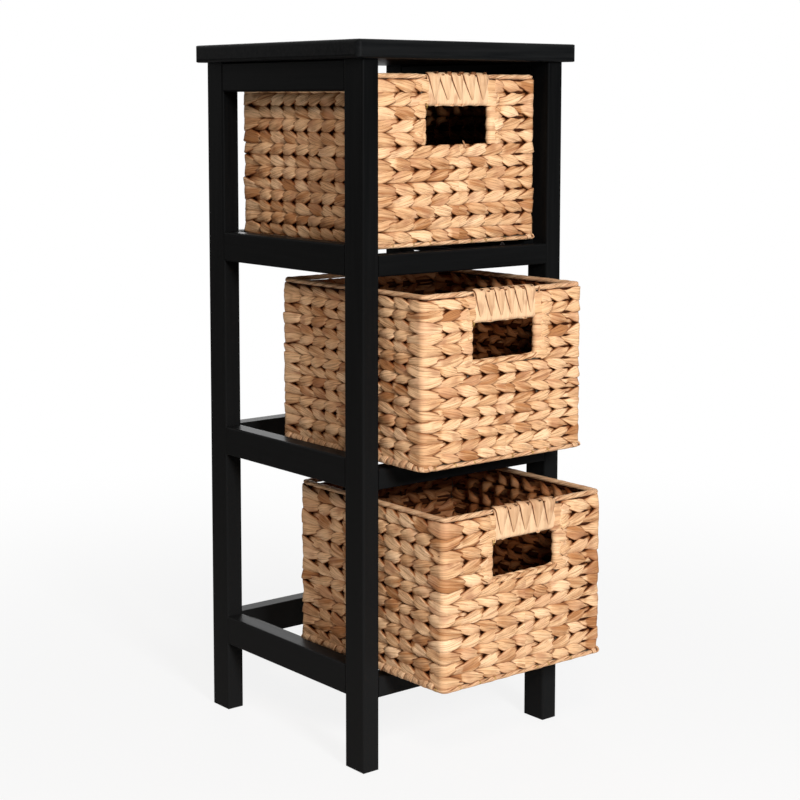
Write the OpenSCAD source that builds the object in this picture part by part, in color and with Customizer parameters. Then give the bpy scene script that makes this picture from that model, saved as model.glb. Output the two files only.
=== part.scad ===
// Three-tier open storage tower with three pull-out woven baskets.
// Units are millimetres, +Z is up and the front faces -Y.
// The origin is on the floor, at the centre of the box round the tower
// with its baskets pulled out as set below.

/* [Tower] */
// Height from the floor to the top of the board
total_h = 750; // [680:5:900]
// Width across the outer faces of the legs
frame_w = 275; // [240:1:360]
// Depth across the outer faces of the legs
frame_d = 280; // [240:1:360]
// Height of the lowest rails' undersides above the floor
foot_h = 77; // [50:1:110]

/* [Top board] */
// Thickness of the board
board_t = 19; // [16:0.5:28]
// Overhang past the legs on the left and on the right
over_side = 12.5; // [6:0.5:25]
// Overhang past the front legs
over_front = 9; // [6:0.5:25]
// Overhang past the rear legs
over_rear = 6; // [4:0.5:25]
// Corner radius of the board seen from above
board_corner_r = 6; // [3:0.5:15]
// Radius of the board's eased top and bottom edges
board_ease = 4; // [1:0.5:6]

/* [Legs] */
// Leg size from left to right
leg_x = 21; // [19:0.5:28]
// Leg size from front to back
leg_y = 31; // [30:0.5:40]
// Radius of the legs' eased edges and foot ends
leg_ease = 2.5; // [1:0.5:4]

/* [Rails] */
// Height of the side, top and rear rails
rail_h = 32; // [30:1:40]
// Thickness of every rail
rail_t = 20.5; // [17:0.5:24]
// Height of the front rails
front_rail_h = 22; // [18:1:26]
// How far the front rails stand behind the front legs' faces
rail_reveal = 0.5; // [0:0.25:2]
// How far the rear rails stand behind the rear legs' back faces
rear_set_in = 3; // [0:0.5:6]
// Radius of the rails' eased edges
rail_ease = 2; // [0.5:0.5:4]

/* [Basket runners] */
// Height of a runner
runner_h = 18; // [14:1:22]
// Height of a runner's top above the front rail's top
runner_rise = 4; // [1:0.5:8]
// How far a runner reaches under the basket
runner_bearing = 8; // [5:0.5:15]
// Gap between a runner's end and the rail it points at
runner_end_gap = 0.5; // [0:0.25:3]
// Radius of a runner's eased edges
runner_ease = 1.5; // [0.5:0.5:3]

/* [Baskets] */
// Gap between a basket and the legs on each side
basket_side_gap = 5.5; // [3:0.5:12]
// Gap between a basket's rim and what is over it
basket_top_gap = 13; // [5:1:40]
// How far a closed basket's front stands behind the legs' front faces
basket_recess = 15; // [5:0.5:40]
// Gap between a closed basket and the rear rail that stops it
stop_gap = 0.5; // [0.3:0.1:3]
// Gap between a basket's underside and its runners
seat_gap = 0.3; // [0.2:0.1:1]
// Outer corner radius of a basket seen from above
basket_r = 13; // [11:0.5:30]
// Thickness of the plaited wall
wall_t = 10; // [9:0.5:16]
// Height of the twisted rim binding
rim_h = 7; // [6:0.5:12]
// Height of the twisted binding round the base
base_bind_h = 8; // [7:0.5:14]
// Thickness of the woven base panel
base_t = 8; // [5:0.5:12]
// Height of the base panel's underside above the basket's underside
base_lift = 1; // [0:0.5:3]

/* [Hand hole] */
// Width of the hand hole
hole_w = 86; // [70:1:110]
// Height of the hand hole
hole_h = 38; // [30:1:50]
// Height of the wrapped bar over the hand hole
handle_h = 35; // [25:1:45]
// Thickness of the wrapped bar
wrap_t = 12; // [10:0.5:16]

/* [Basket wire] */
// Diameter of the hoop wire in the rim and in the base
hoop_d = 4; // [3:0.2:4.6]
// Diameter of the upright wires
upright_d = 3.2; // [2:0.2:3.6]
// Diameter of the two wires over and under the hand hole
hole_wire_d = 2.6; // [1.6:0.2:3]
// Distance from the hand hole's edge to the wires round it
hole_wire_edge = 5; // [4:0.5:8]
// Clearance round each wire
wire_gap = 0.3; // [0.2:0.05:0.6]

/* [Basket positions] */
// Distance the top basket is pulled out
pull_top = 3; // [0:0.5:130]
// Distance the middle basket is pulled out
pull_middle = 77; // [0:0.5:130]
// Distance the bottom basket is pulled out
pull_bottom = 109; // [0:0.5:130]

/* [Dowels and screws] */
// Diameter of the side rail dowels and of the top dowels
dowel_d = 8; // [6:1:10]
// Depth of a side rail dowel in its leg
dowel_in_leg = 12; // [8:1:14]
// Depth of a side rail dowel in its rail
dowel_in_rail = 16; // [12:1:30]
// Distance between the two dowels of a side rail end
dowel_pitch = 16; // [12:1:18]
// Diameter of the front and rear rail dowels
cross_dowel_d = 6; // [5:1:8]
// Depth of a front or rear rail dowel in its leg
cross_in_leg = 12; // [8:1:15]
// Depth of a front or rear rail dowel in its rail
cross_in_rail = 18; // [12:1:30]
// Distance between the two dowels of a front or rear rail end
cross_pitch = 11; // [9:1:13]
// Depth of a top dowel in the board
top_dowel_up = 11; // [8:1:13]
// Depth of a top dowel in its leg
top_dowel_down = 19; // [12:1:30]
// Distance of a top dowel from the leg's outer face, front or rear
top_dowel_inset = 10; // [7:0.5:12]
// Extra radius of a dowel or screw hole over what it holds
fit_gap = 0.1; // [0.05:0.05:0.3]
// Extra depth of a blind hole past what it holds
hole_spare = 1; // [0.5:0.5:2]
// Diameter of a screw's shank
screw_d = 4; // [3:0.5:5]
// Diameter of a screw's head
screw_head_d = 8; // [6:0.5:9]
// Height of a screw's head
screw_head_h = 2.6; // [2:0.2:3.4]
// Width of the crossed slots in a screw's head
drive_w = 1.2; // [0.8:0.1:1.6]
// Depth of a runner screw in the side rail
runner_bite = 13; // [8:0.5:14]
// Depth of a top screw in the board
board_bite = 12; // [8:0.5:13]
// Depth of a top screw's head above the top rail's underside
top_screw_sink = 14; // [8:1:18]
// Distance of the outer runner screws from the runner's ends
runner_screw_inset = 35; // [20:1:60]

/* [Hidden] */
$fn = 48;
EPS = 0.01;
LEFT = -1;
RIGHT = 1;
FRONT = -1;
REAR = 1;
TOP = 2;
MIDDLE = 1;
BOTTOM = 0;

// Board, legs and tier heights
board_z = total_h - board_t;
tier_pitch = (board_z - foot_h) / 3;
pulls = [pull_bottom, pull_middle, pull_top];
function rail_z(tier) = foot_h + tier * tier_pitch;
function front_top_z(tier) = rail_z(tier) + front_rail_h;
function floor_z(tier) = front_top_z(tier) + runner_rise + seat_gap;

// Basket size, from the bay that holds it
basket_w = frame_w - 2 * leg_x - 2 * basket_side_gap;
basket_d = frame_d - rear_set_in - rail_t - stop_gap - basket_recess;
basket_h = tier_pitch - front_rail_h - runner_rise - seat_gap - basket_top_gap;

// Front face of the legs, placed so that the whole box is centred front to back
wrap_proud = max(0, (wrap_t - wall_t) / 2);
front_reach = max(over_front, max(pulls) - basket_recess + wrap_proud);
front_y = (front_reach - frame_d - over_rear) / 2;
rear_y = front_y + frame_d;
mid_y = front_y + frame_d / 2;
function leg_side_x(side) = side * (frame_w - leg_x) / 2;
function leg_end_y(end) = mid_y + end * (frame_d - leg_y) / 2;

// Rail centre lines; the side rails' inner faces are flush with the legs'
side_rail_in = frame_w / 2 - leg_x;
side_rail_x = side_rail_in + rail_t / 2;
front_rail_y = front_y + rail_reveal + rail_t / 2;
rear_rail_y = rear_y - rear_set_in - rail_t / 2;
function cross_rail_y(end) = end == FRONT ? front_rail_y : rear_rail_y;
function cross_rail_mid_z(end, tier) =
    rail_z(tier) + (end == FRONT ? front_rail_h : rail_h) / 2;
top_rail_z = board_z - rail_h;
side_rail_zs = [rail_z(BOTTOM), rail_z(MIDDLE), rail_z(TOP), top_rail_z];

// Runners
runner_in = basket_w / 2 - runner_bearing;
runner_w = side_rail_in - runner_in;
runner_front = front_rail_y + rail_t / 2 + runner_end_gap;
runner_rear = rear_rail_y - rail_t / 2 - runner_end_gap;
runner_l = runner_rear - runner_front;
runner_screw_ys = [
    runner_front + runner_screw_inset,
    (runner_front + runner_rear) / 2,
    runner_rear - runner_screw_inset
];
function runner_z(tier) = front_top_z(tier) + runner_rise - runner_h;

// Screws up through the top rails
top_screw_ys = [mid_y - frame_d / 5, mid_y + frame_d / 5];

// Basket details, in the basket's own frame: origin at the centre of its underside
basket_inner_r = basket_r - wall_t;
handle_z = basket_h - handle_h;
hole_z = handle_z - hole_h;
wall_top = basket_h - rim_h;
wire_w = basket_w - wall_t;
wire_depth = basket_d - wall_t;
wire_r = basket_r - wall_t / 2;
rim_wire_z = basket_h - rim_h / 2;
base_wire_z = base_bind_h / 2;
upright_x = hole_w / 2 + hole_wire_edge;
front_wall_y = -wire_depth / 2;
corner_x = wire_w / 2 - wire_r * (1 - sqrt(0.5));
corner_y = wire_depth / 2 - wire_r * (1 - sqrt(0.5));
function basket_y(tier) = front_y + basket_recess - pulls[tier] + basket_d / 2;

// Outline of a w by h rectangle about the origin, with corners of radius r
module rounded_rect(w, h, r) {
    square([w - 2 * r, h], center = true);
    square([w, h - 2 * r], center = true);
    for (sx = [-1, 1], sy = [-1, 1])
        translate([sx * (w / 2 - r), sy * (h / 2 - r)])
            circle(r);
}

// Bar about the origin along Z, eased along its four long edges
module eased_bar(w, d, length, ease) {
    translate([0, 0, -length / 2])
        linear_extrude(length)
            rounded_rect(w, d, ease);
}

// Cylinder about the origin along +X, +Y or +Z from 0 to length
module along_x(length, d) {
    rotate([0, 90, 0])
        cylinder(h = length, d = d);
}

module along_y(length, d) {
    rotate([-90, 0, 0])
        cylinder(h = length, d = d);
}

// Places of the dowels

// Side rail dowels at one leg face: z of each, over all four rails of a side
side_dowel_zs = [
    for (z = side_rail_zs, s = [-1, 1])
        z + rail_h / 2 + s * dowel_pitch / 2
];

// Front or rear rail dowels: z of each, over all three tiers
function cross_dowel_zs(end) = [
    for (tier = [BOTTOM, MIDDLE, TOP], s = [-1, 1])
        cross_rail_mid_z(end, tier) + s * cross_pitch / 2
];

// Side rail dowel or its hole, across the joint between a rail and its leg
module side_dowel(side, end, z, extra_r, extra_l) {
    face_y = mid_y + end * (frame_d / 2 - leg_y);
    from_y = end == FRONT ? face_y - dowel_in_leg : face_y - dowel_in_rail;
    translate([side * side_rail_x, from_y - extra_l, z])
        along_y(dowel_in_leg + dowel_in_rail + 2 * extra_l, dowel_d + 2 * extra_r);
}

// Front or rear rail dowel or its hole, across the joint between a rail and its leg
module cross_dowel(side, end, z, extra_r, extra_l) {
    face_x = side * (frame_w / 2 - leg_x);
    from_x = side == LEFT ? face_x - cross_in_leg : face_x - cross_in_rail;
    translate([from_x - extra_l, cross_rail_y(end), z])
        along_x(cross_in_leg + cross_in_rail + 2 * extra_l, cross_dowel_d + 2 * extra_r);
}

// Dowel or its hole between a leg's top and the board
module top_dowel(side, end, extra_r, extra_l) {
    y = mid_y + end * (frame_d / 2 - top_dowel_inset);
    translate([leg_side_x(side), y, board_z - top_dowel_down - extra_l])
        cylinder(h = top_dowel_down + top_dowel_up + 2 * extra_l, d = dowel_d + 2 * extra_r);
}

// Screw along +Z with its head's flat face at 0: countersunk or flat under the head
module screw(length, countersunk) {
    difference() {
        union() {
            cylinder(h = length, d = screw_d);
            cylinder(h = screw_head_h, d1 = screw_head_d, d2 = countersunk ? screw_d : screw_head_d);
        }
        for (turn = [0, 90])
            rotate([0, 0, turn])
                cube([screw_head_d * 0.6, drive_w, screw_head_h], center = true);
    }
}

// Place of a runner screw: head on the runner's inner face, point in the side rail
module at_runner_screw(side, tier, y) {
    translate([side * runner_in, y, runner_z(tier) + runner_h / 2])
        rotate([0, side * 90, 0])
            children();
}

// Place of a top screw: head sunk in the top rail, point in the board
module at_top_screw(side, y) {
    translate([side * side_rail_x, y, top_rail_z + top_screw_sink])
        children();
}

module top_screw_hole() {
    screw_top = rail_h - top_screw_sink + board_bite;
    translate([0, 0, -top_screw_sink - EPS])
        cylinder(h = top_screw_sink + screw_head_h + fit_gap + EPS, d = screw_head_d + 2);
    cylinder(h = screw_top + hole_spare, d = screw_d + 2 * fit_gap);
}

module runner_screw_hole() {
    cylinder(h = runner_w + runner_bite + hole_spare, d = screw_d + 2 * fit_gap);
    translate([0, 0, -EPS])
        cylinder(
            h = screw_head_h + fit_gap + EPS,
            d1 = screw_head_d + 2 * fit_gap,
            d2 = screw_d + 2 * fit_gap
        );
}

// Wooden frame

module board_shape() {
    board_w = frame_w + 2 * over_side;
    board_d = frame_d + over_front + over_rear;
    translate([0, mid_y + (over_rear - over_front) / 2, board_z + board_t / 2])
        intersection() {
            eased_bar(board_w, board_d, board_t, board_corner_r);
            rotate([90, 0, 0])
                eased_bar(board_w, board_t, board_d + 1, board_ease);
            rotate([90, 0, 90])
                eased_bar(board_d, board_t, board_w + 1, board_ease);
        }
}

module top_board() {
    color("#1b1a1a")
        difference() {
            board_shape();
            for (side = [LEFT, RIGHT], end = [FRONT, REAR])
                top_dowel(side, end, fit_gap, hole_spare);
            for (side = [LEFT, RIGHT], y = top_screw_ys)
                at_top_screw(side, y)
                    top_screw_hole();
        }
}

// Upright outline w wide from 0 to h, rounded at its two bottom corners
module foot_outline(w, h, r) {
    translate([-w / 2, r])
        square([w, h - r]);
    translate([r - w / 2, 0])
        square([w - 2 * r, h]);
    for (s = [-1, 1])
        translate([s * (w / 2 - r), r])
            circle(r);
}

module leg(side, end) {
    color("#1b1a1a")
        difference() {
            translate([leg_side_x(side), leg_end_y(end), 0])
                intersection() {
                    linear_extrude(board_z)
                        rounded_rect(leg_x, leg_y, leg_ease);
                    rotate([90, 0, 0])
                        linear_extrude(leg_y + 1, center = true)
                            foot_outline(leg_x, board_z, leg_ease);
                    rotate([90, 0, 90])
                        linear_extrude(leg_x + 1, center = true)
                            foot_outline(leg_y, board_z, leg_ease);
                }
            for (z = side_dowel_zs)
                side_dowel(side, end, z, fit_gap, hole_spare);
            for (z = cross_dowel_zs(end))
                cross_dowel(side, end, z, fit_gap, hole_spare);
            top_dowel(side, end, fit_gap, hole_spare);
        }
}

// Side rail between the legs of one side, its underside at z
module side_rail_shape(side, z) {
    translate([side * side_rail_x, mid_y, z + rail_h / 2])
        rotate([90, 0, 0])
            eased_bar(rail_t, rail_h, frame_d - 2 * leg_y, rail_ease);
}

module side_rail_dowel_holes(side, z) {
    for (end = [FRONT, REAR], s = [-1, 1])
        side_dowel(side, end, z + rail_h / 2 + s * dowel_pitch / 2, fit_gap, hole_spare);
}

module top_rail(side) {
    color("#1b1a1a")
        difference() {
            side_rail_shape(side, top_rail_z);
            side_rail_dowel_holes(side, top_rail_z);
            for (y = top_screw_ys)
                at_top_screw(side, y)
                    top_screw_hole();
        }
}

module side_rail(side, tier) {
    color("#1b1a1a")
        difference() {
            side_rail_shape(side, rail_z(tier));
            side_rail_dowel_holes(side, rail_z(tier));
            for (y = runner_screw_ys)
                at_runner_screw(side, tier, y)
                    runner_screw_hole();
        }
}

// Front or rear rail between a left and a right leg
module cross_rail(end, tier) {
    h = end == FRONT ? front_rail_h : rail_h;
    mid_z = cross_rail_mid_z(end, tier);
    color("#1b1a1a")
        difference() {
            translate([0, cross_rail_y(end), mid_z])
                rotate([90, 0, 90])
                    eased_bar(rail_t, h, frame_w - 2 * leg_x, rail_ease);
            for (side = [LEFT, RIGHT], s = [-1, 1])
                cross_dowel(side, end, mid_z + s * cross_pitch / 2, fit_gap, hole_spare);
        }
}

module runner(side, tier) {
    color("#1b1a1a")
        difference() {
            translate([
                side * (runner_in + runner_w / 2),
                (runner_front + runner_rear) / 2,
                runner_z(tier) + runner_h / 2
            ])
                rotate([90, 0, 0])
                    eased_bar(runner_w, runner_h, runner_l, runner_ease);
            for (y = runner_screw_ys)
                at_runner_screw(side, tier, y)
                    runner_screw_hole();
        }
}

// Dowels and screws

module side_rail_dowels() {
    color("#c79a63")
        for (side = [LEFT, RIGHT], end = [FRONT, REAR], z = side_dowel_zs)
            side_dowel(side, end, z, 0, 0);
}

module cross_rail_dowels() {
    color("#c79a63")
        for (side = [LEFT, RIGHT], end = [FRONT, REAR], z = cross_dowel_zs(end))
            cross_dowel(side, end, z, 0, 0);
}

module top_board_dowels() {
    color("#c79a63")
        for (side = [LEFT, RIGHT], end = [FRONT, REAR])
            top_dowel(side, end, 0, 0);
}

module top_board_screws() {
    color("#8d8f92")
        for (side = [LEFT, RIGHT], y = top_screw_ys)
            at_top_screw(side, y)
                screw(rail_h - top_screw_sink + board_bite, false);
}

module runner_screws() {
    color("#8d8f92")
        for (side = [LEFT, RIGHT], tier = [BOTTOM, MIDDLE, TOP], y = runner_screw_ys)
            at_runner_screw(side, tier, y)
                screw(runner_w + runner_bite, true);
}

// Baskets

module at_basket(tier) {
    translate([0, basket_y(tier), floor_z(tier)])
        children();
}

// Upright-walled rounded ring as thick as the basket's wall, from z to z + h
module basket_ring(z, h) {
    translate([0, 0, z])
        linear_extrude(h)
            difference() {
                rounded_rect(basket_w, basket_d, basket_r);
                rounded_rect(basket_w - 2 * wall_t, basket_d - 2 * wall_t, basket_inner_r);
            }
}

// Space over and above the hand hole in the front wall
module handle_space() {
    translate([-hole_w / 2, -basket_d / 2 - wrap_t, hole_z])
        cube([hole_w, 2 * wrap_t + wall_t, hole_h + handle_h + 1]);
}

// Wire hoop round the basket on the wall's centre line
module hoop(z, d) {
    translate([0, 0, z]) {
        for (s = [-1, 1]) {
            translate([wire_r - wire_w / 2, s * wire_depth / 2, 0])
                along_x(wire_w - 2 * wire_r, d);
            translate([s * wire_w / 2, wire_r - wire_depth / 2, 0])
                along_y(wire_depth - 2 * wire_r, d);
        }
        for (quarter = [[1, 1, 0], [-1, 1, 90], [-1, -1, 180], [1, -1, 270]])
            translate([
                quarter[0] * (wire_w / 2 - wire_r),
                quarter[1] * (wire_depth / 2 - wire_r),
                0
            ])
                rotate([0, 0, quarter[2]])
                    rotate_extrude(angle = 90)
                        translate([wire_r, 0])
                            circle(d = d);
    }
}

// The six uprights and the two wires over and under the hand hole
module stays(extra) {
    for (sx = [-1, 1], sy = [-1, 1])
        translate([sx * corner_x, sy * corner_y, base_wire_z])
            cylinder(h = rim_wire_z - base_wire_z, d = upright_d + extra);
    for (sx = [-1, 1])
        translate([sx * upright_x, front_wall_y, base_wire_z])
            cylinder(h = rim_wire_z - base_wire_z, d = upright_d + extra);
    for (z = [hole_z - hole_wire_edge, handle_z + hole_wire_edge])
        translate([-upright_x, front_wall_y, z])
            along_x(2 * upright_x, hole_wire_d + extra);
}

module basket_walls(tier) {
    color("#c59058")
        at_basket(tier)
            difference() {
                basket_ring(base_bind_h, wall_top - base_bind_h);
                handle_space();
                stays(2 * wire_gap);
            }
}

module basket_base(tier) {
    color("#b98450")
        at_basket(tier)
            translate([0, 0, base_lift])
                linear_extrude(base_t)
                    rounded_rect(
                        basket_w - 2 * wall_t,
                        basket_d - 2 * wall_t,
                        basket_inner_r
                    );
}

module basket_rim(tier) {
    color("#b58350")
        at_basket(tier)
            difference() {
                basket_ring(wall_top, rim_h);
                handle_space();
                hoop(rim_wire_z, hoop_d + 2 * wire_gap);
                stays(2 * wire_gap);
            }
}

module basket_base_binding(tier) {
    color("#b58350")
        at_basket(tier)
            difference() {
                basket_ring(0, base_bind_h);
                hoop(base_wire_z, hoop_d + 2 * wire_gap);
                stays(2 * wire_gap);
            }
}

module basket_handle_wrap(tier) {
    color("#cfa36c")
        at_basket(tier)
            difference() {
                translate([-hole_w / 2, front_wall_y - wrap_t / 2, handle_z])
                    cube([hole_w, wrap_t, handle_h]);
                hoop(rim_wire_z, hoop_d + 2 * wire_gap);
                stays(2 * wire_gap);
            }
}

module basket_wire(tier) {
    color("#77797c")
        at_basket(tier) {
            hoop(rim_wire_z, hoop_d);
            hoop(base_wire_z, hoop_d);
            stays(0);
        }
}

top_board();
leg(LEFT, FRONT);  // front_left_leg
leg(RIGHT, FRONT);  // front_right_leg
leg(LEFT, REAR);  // rear_left_leg
leg(RIGHT, REAR);  // rear_right_leg
top_rail(LEFT);  // left_top_rail
top_rail(RIGHT);  // right_top_rail
side_rail(LEFT, BOTTOM);  // bottom_left_side_rail
side_rail(RIGHT, BOTTOM);  // bottom_right_side_rail
side_rail(LEFT, MIDDLE);  // middle_left_side_rail
side_rail(RIGHT, MIDDLE);  // middle_right_side_rail
side_rail(LEFT, TOP);  // upper_left_side_rail
side_rail(RIGHT, TOP);  // upper_right_side_rail
cross_rail(FRONT, BOTTOM);  // bottom_front_rail
cross_rail(FRONT, MIDDLE);  // middle_front_rail
cross_rail(FRONT, TOP);  // upper_front_rail
cross_rail(REAR, BOTTOM);  // bottom_rear_rail
cross_rail(REAR, MIDDLE);  // middle_rear_rail
cross_rail(REAR, TOP);  // upper_rear_rail
runner(LEFT, BOTTOM);  // bottom_left_runner
runner(RIGHT, BOTTOM);  // bottom_right_runner
runner(LEFT, MIDDLE);  // middle_left_runner
runner(RIGHT, MIDDLE);  // middle_right_runner
runner(LEFT, TOP);  // upper_left_runner
runner(RIGHT, TOP);  // upper_right_runner
side_rail_dowels();
cross_rail_dowels();
top_board_dowels();
top_board_screws();
runner_screws();
basket_walls(TOP);  // top_basket_walls
basket_base(TOP);  // top_basket_base
basket_rim(TOP);  // top_basket_rim
basket_base_binding(TOP);  // top_basket_base_binding
basket_handle_wrap(TOP);  // top_basket_handle_wrap
basket_wire(TOP);  // top_basket_wire
basket_walls(MIDDLE);  // middle_basket_walls
basket_base(MIDDLE);  // middle_basket_base
basket_rim(MIDDLE);  // middle_basket_rim
basket_base_binding(MIDDLE);  // middle_basket_base_binding
basket_handle_wrap(MIDDLE);  // middle_basket_handle_wrap
basket_wire(MIDDLE);  // middle_basket_wire
basket_walls(BOTTOM);  // bottom_basket_walls
basket_base(BOTTOM);  // bottom_basket_base
basket_rim(BOTTOM);  // bottom_basket_rim
basket_base_binding(BOTTOM);  // bottom_basket_base_binding
basket_handle_wrap(BOTTOM);  // bottom_basket_handle_wrap
basket_wire(BOTTOM);  // bottom_basket_wire
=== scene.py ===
import math
import random
from types import SimpleNamespace

import bmesh
import bpy
import numpy as np
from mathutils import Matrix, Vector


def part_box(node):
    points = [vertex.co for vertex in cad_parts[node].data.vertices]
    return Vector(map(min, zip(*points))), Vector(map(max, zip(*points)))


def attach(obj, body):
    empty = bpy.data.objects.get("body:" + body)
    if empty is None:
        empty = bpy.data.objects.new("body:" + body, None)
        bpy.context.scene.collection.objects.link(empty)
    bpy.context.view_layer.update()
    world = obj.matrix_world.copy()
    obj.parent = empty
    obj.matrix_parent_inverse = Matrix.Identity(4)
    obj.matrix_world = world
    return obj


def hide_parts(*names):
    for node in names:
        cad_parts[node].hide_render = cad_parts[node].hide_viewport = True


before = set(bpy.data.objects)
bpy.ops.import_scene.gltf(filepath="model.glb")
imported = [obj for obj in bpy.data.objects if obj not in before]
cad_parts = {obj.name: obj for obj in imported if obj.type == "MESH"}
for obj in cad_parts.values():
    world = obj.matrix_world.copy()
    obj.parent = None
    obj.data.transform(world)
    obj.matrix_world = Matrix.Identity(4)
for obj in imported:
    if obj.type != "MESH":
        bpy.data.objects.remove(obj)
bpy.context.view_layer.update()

# Lengths are in metres, angles in radians. Names that end in W and T are a strand's half width and half
# thickness. Its tone is high where it is light, and its painted shade, darkness painted into its colour, is
# 0 in a gap and 1 on top. Each TONE pair is a draw's middle and spread.

TAU = 2 * math.pi
TIERS = ("top", "middle", "bottom")
SEED = 41  # of the first basket, one more for each of the others
UP = np.array([0.0, 0.0, 1.0])
FORWARD = np.array([0.0, -1.0, 0.0])

# Any strand
SIDES = 12  # points round it
CREASES = ((3, 1, 60, 0.09), (5, 2, -90, 0.06))  # waves round it, shift, twist and depth
EDGE_SHADE_POWER = 6  # how sharply its painted shade darkens towards its side edges
FIBRE_SHIFT = 9  # farthest shift of the fibre pattern along it
WELD = 1e-6  # points closer than this become one
STATION = 0.0040  # spacing of the rings along a wall's strand
CORD_STATION = 0.0022  # and along a cord's or the handle's
CORNER_RINGS = 6  # rings round each corner
ON_CORNER = 0.01  # a track turned by more than this runs round a corner

# Twined walls: rows of two strands twisted round each other, leaning by turns
LOW_ROWS = {"top": 8, "middle": 9, "bottom": 8}  # under the hand hole
HIGH_ROWS = {"top": 5, "middle": 6, "bottom": 5}  # beside the hand hole
FALL = {"top": -0.0010, "middle": 0.0058, "bottom": 0.0024}  # sinking of the rows to the right
WAVE = 0.0007  # slow waves that all rows of a basket share
DRIFT = 0.0003  # and each row's own
FRONT_LOBES = 8  # along the front and the back
SIDE_LOBES = 9  # along each side
CORNER_R = 0.0078  # corners of the basket seen from above
CORNER_KNOTS = (1, 3, 5, 7)  # where a track's corners start
CORNER_REACH = {  # half length of the lobe bent round each corner, before and after it
    "front_right": (0.018, 0.021), "rear_right": (0.023, 0.023),
    "rear_left": (0.022, 0.027), "front_left": (0.0175, 0.0195),
}
LOOSE = {"front_right": 2.1, "rear_left": 1.8}  # wider gaps beside these corners
LOOSE_SPAN = 0.008  # distance over which such a gap closes
LOOSE_THIN = 0.9  # how much a strand narrows inwards beside it
TIGHT = 0.10  # how much wider the strands are round the corners
TIGHT_SPAN = 0.014  # distance over which they widen

# A strand over one twist, by distance from the middle of its outside lobe: 0, and 1 at the
# middle of its inside lobe. Half widths and heights are shares of the row's height.
TWIST = (0.0, 0.22, 0.46, 0.60, 0.72, 0.86, 1.0)
HALF_W = (0.575, 0.500, 0.400, 0.315, 0.235, 0.330, 0.500)
RISE = (0.0, 0.075, 0.180, 0.255, 0.330, 0.160, 0.0)
STAND = (1.00, 0.93, 0.70, 0.46, 0.10, -0.75, -1.00)
ROLL = 0.35  # how far a lobe's face turns towards the row's edges
WEAVE = 0.0035  # strand's swing out and in
STRAND_T = 0.0017
THICK = (0.60, 0.80)  # share of it that every part has, and share that goes with the width
FLAT = 0.50  # squareness of a strand's section, 1 is an ellipse
BEND_FLAT = 0.24  # how much squarer it is round the corners
BEND_SWING = 0.25  # and how much less it swings there
LOBE_TONE = 0.18
SPREAD = {"place": 0.09, "width": 0.05, "swing": 0.0005, "tone": 0.17}  # from lobe to lobe
ENDS = (0.10, 0.03)  # a cut end's length in lobes, and its thinnest share
WEAVE_EDGE_SHADE = 0.68  # painted shade at a strand's side edges
INNER_DEPTH = (0.0, 0.25, 0.50, 1.0)  # painted shade inside the wall, by depth from the middle of the wall inwards
INNER_PAINTED_SHADE = (0.0, 0.18, 0.36, 0.40)
BACK_PAINTED_SHADE = 0.37  # painted shade of the strands' backs, inside the basket

# Fibres deep between two rows, painted near black as the shade in the gaps
CORE_W = 0.0034
CORE_T = 0.0006
CORE_TONE = 0.1
CORE_PAINTED_SHADE = 0.09
CORE_STEP = 3  # a ring at every third station

# Where the baskets give way to the frame
PRESS = 0.0030  # depth that gives way
REAR_ROOM = 0.0004  # how far the rear may stand past the CAD wall
RAIL_REACH = 0.0140  # height over the underside that the rear rail can meet
RAIL_FADE = 0.0060

# Hand hole
HOLE_H = 0.038
TUCK = 0.004  # how far behind the hole's edge a cut row ends
CORD_H = 0.0042  # cord on the hole's lower edge
CORD_SHARE = {"top": 0.2, "middle": 0.9, "bottom": 0.9}  # of its height over the low rows
# Folds round its left (-1) and right (1) edges: range of their reach outside, lean with the
# rows, spread of the lean and bluntness of the ends
FOLDS = {-1: ((0.015, 0.019), -0.20, 0.04, 0.7), 1: ((0.017, 0.021), 0.0, 0.06, 0.45)}
FOLD_IN = (0.014, 0.020)  # range of their reach inside
FOLD_START = 0.0012  # where the level part begins, from the bend
FOLD_RINGS = 8  # rings outside, and as many inside
BEND_RINGS = 9  # rings round the edge
FOLD_T = 0.0021
FOLD_W = 0.545  # half width as a share of the row's height
FOLD_TONE = (0.21, 0.07)
FOLD_SINK = (0.007, 0.012, 0.0030)  # they dip under the rows: from, over and how deep
FOLD_GAP = {"hole": 0.0016, "handle": -0.0030}  # from the edge beside each

# Cords
CORD_TONE = 0.2
CORD_W = 0.0021
CORD_BANDS = 1.85  # bands of tone in a twist
CORD_START = (-0.2, 0.2)
CORD_UNEVEN = {"twist": 0.25, "width": 0.05, "tone": 0.05, "bands": 0.10}
CORD_END = 0.02  # thinnest share of an open cord's end, a third of a twist long
RIM_CORD = {"turns": 15, "plies": 3, "wide": 0.0016, "tall": 0.0010, "half_t": 0.0017}
RIM_TUCK = 0.007  # into the handle
BASE_CORD = {"turns": 13, "plies": 3, "wide": 0.0017, "tall": 0.0008, "half_t": 0.0016}
BASE_CORD_H = 0.0048
BASE_CORD_OUT = 0.0015  # out of the wall's middle
# Cord on the hand hole's lower edge
LEDGE = {"plies": 2, "wide": 0.0009, "tall": 0.0009, "half_t": 0.0019}
LEDGE_TURNS = {"middle": 2.5, "bottom": 3.5}  # the top basket shows none
LEDGE_RINGS = 64
LEDGE_PAST = 0.006  # past the hole at each end
LEDGE_OUT = 0.0032
LEDGE_INSIDE = (0.0, 0.0056)  # one outside, one inside
LEDGE_LIFT = (0.0008, 0.0040, 0.010, 0.014)  # everywhere, at the right end, from and over

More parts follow.
